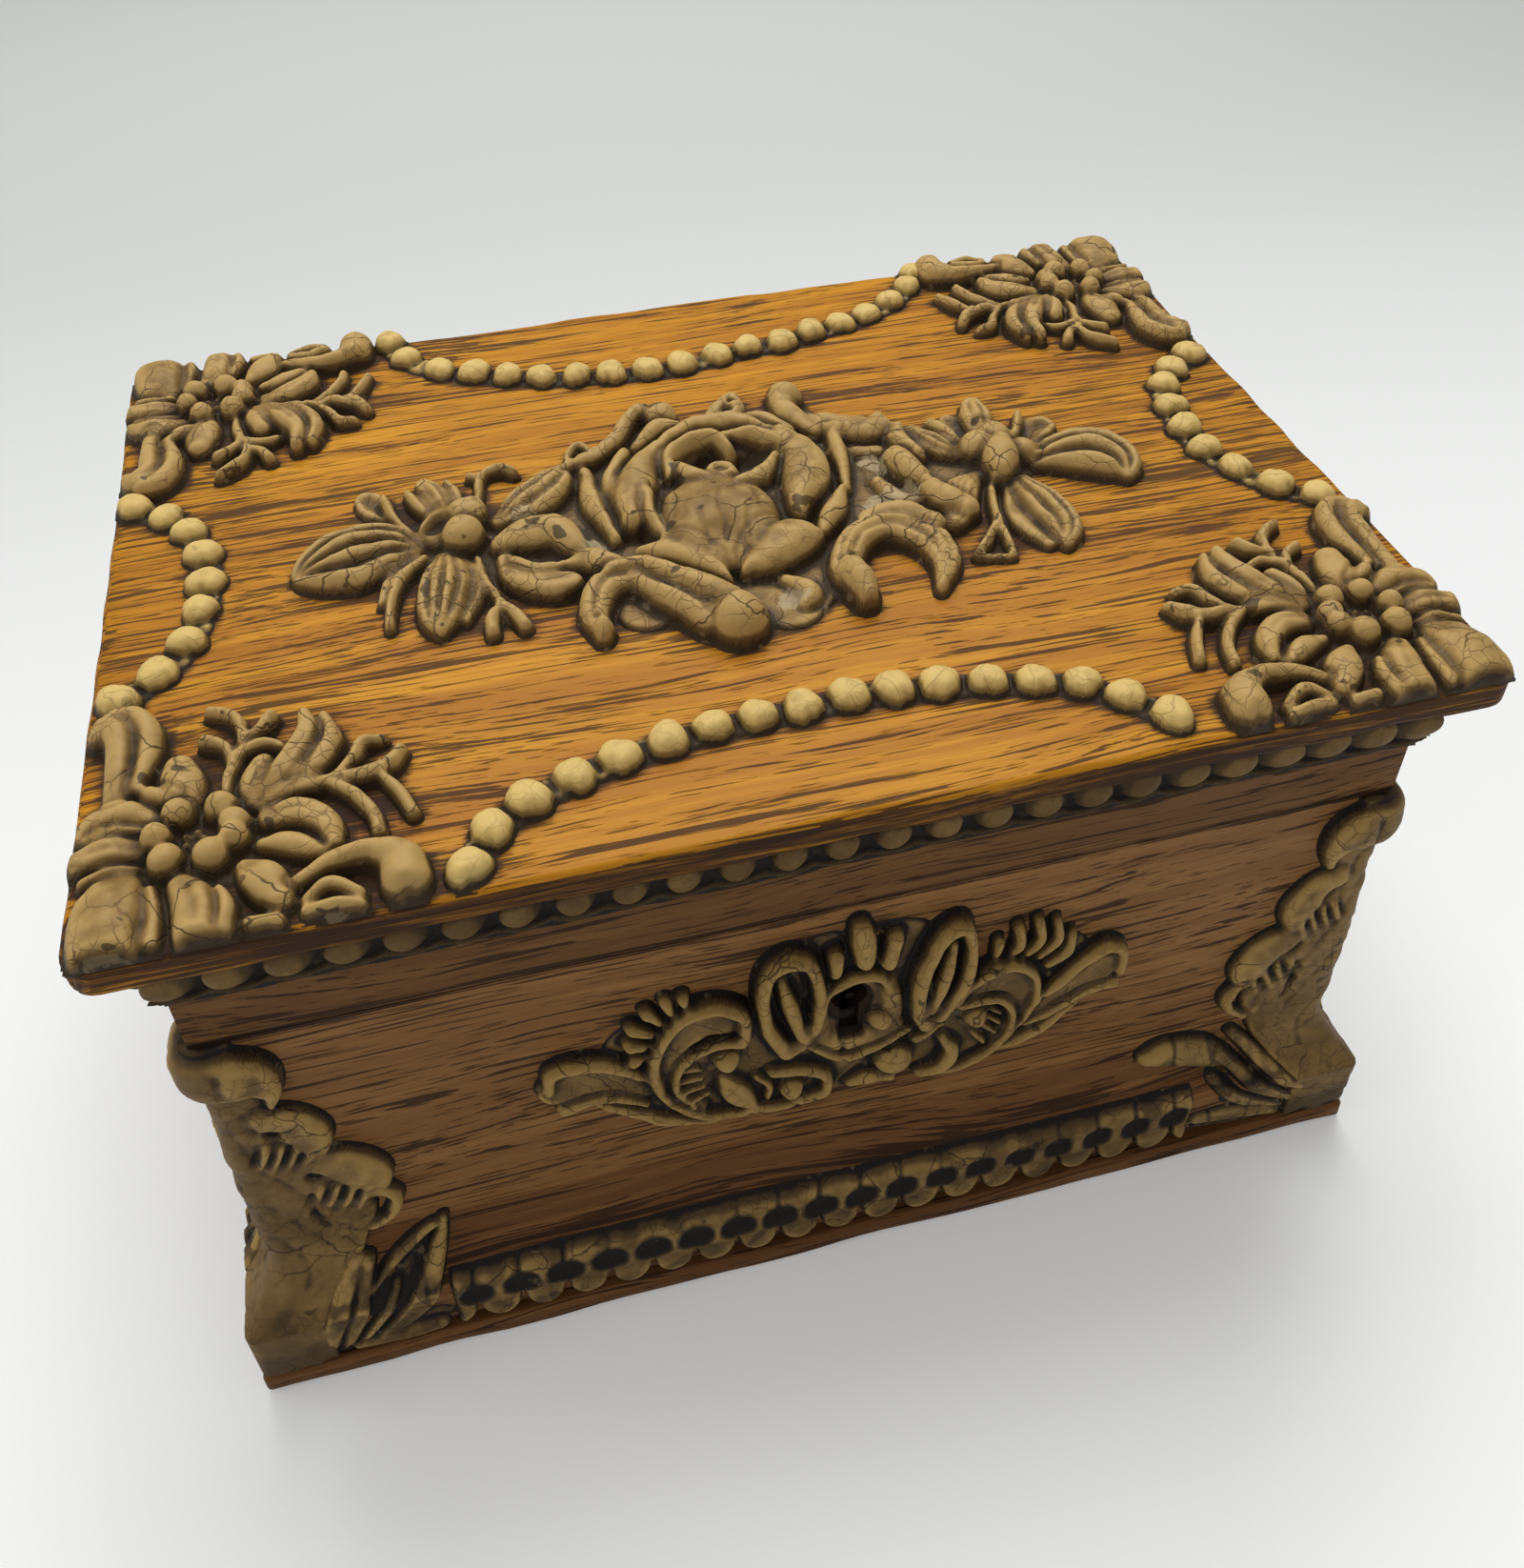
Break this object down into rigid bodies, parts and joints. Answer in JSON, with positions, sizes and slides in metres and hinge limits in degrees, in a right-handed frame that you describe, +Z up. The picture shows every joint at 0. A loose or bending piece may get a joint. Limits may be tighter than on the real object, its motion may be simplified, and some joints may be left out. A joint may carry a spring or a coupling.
{
  "type": "keepsake box",
  "caption": "Oak keepsake box on a moulded plinth with a hinged, locking lid and raised floral composition ornament on its lid, corners and front.",
  "frame": {"origin": "middle of the base board's underside", "axes": "+X to the right along the front, +Y to the back, +Z up; the keyhole is on the -Y side"},
  "size_m": [0.304, 0.215, 0.186],
  "materials": {
    "lid_oak": "satin varnish, worn",
    "case_oak": "satin varnish",
    "base_oak": "dull varnish",
    "lid_composition": "painted and glazed composition, crazed",
    "case_composition": "painted and glazed composition, crazed",
    "brass": "aged",
    "lock_steel": "dark, aged",
    "screw_steel": "aged"
  },
  "bodies": {
    "case": {"base_board": "base_oak", "front_wall": "case_oak", "back_wall": "case_oak", "left_wall": "case_oak", "right_wall": "case_oak", "plinth_front": "case_oak", "plinth_right": "case_oak", "plinth_back": "case_oak", "plinth_left": "case_oak", "base_beading_front": "case_composition", "base_beading_right": "case_composition", "base_beading_back": "case_composition", "base_beading_left": "case_composition", "corner_leaf_front_left": "case_composition", "corner_leaf_front_right": "case_composition", "corner_leaf_back_left": "case_composition", "corner_leaf_back_right": "case_composition", "keyhole_ornament": "case_composition", "lock_case": "lock_steel", "lock_cover": "lock_steel", "lock_screws": "brass", "hinge_case_leaf_left": "brass", "hinge_case_leaf_right": "brass", "hinge_pin_left": "brass", "hinge_pin_right": "brass", "hinge_case_screws": "brass", "base_screws": "screw_steel"},
    "lid": {"lid_board": "lid_oak", "lid_rim_front": "case_oak", "lid_rim_back": "case_oak", "lid_rim_left": "case_oak", "lid_rim_right": "case_oak", "crown_moulding_front": "case_composition", "crown_moulding_right": "case_composition", "crown_moulding_back": "case_composition", "crown_moulding_left": "case_composition", "lid_corner_front_left": "lid_composition", "lid_corner_front_right": "lid_composition", "lid_corner_back_left": "lid_composition", "lid_corner_back_right": "lid_composition", "bead_string_front": "lid_composition", "bead_string_right": "lid_composition", "bead_string_back": "lid_composition", "bead_string_left": "lid_composition", "centre_spray": "lid_composition", "link_plate": "brass", "link_plate_screws": "brass", "hinge_lid_leaf_left": "brass", "hinge_lid_leaf_right": "brass", "hinge_lid_screws": "brass"},
    "bolt": {"lock_bolt": "brass"}
  },
  "joints": [
    {"name": "lid_hinge", "type": "hinge", "parent": "case", "child": "lid", "pos_m": [0, 0.0984, 0.13], "axis": [-1, 0, 0], "range_deg": [0, 100]},
    {"name": "lock_bolt_slide", "type": "slide", "parent": "case", "child": "bolt", "axis": [1, 0, 0], "range_m": [0, 0.005]}
  ]
}
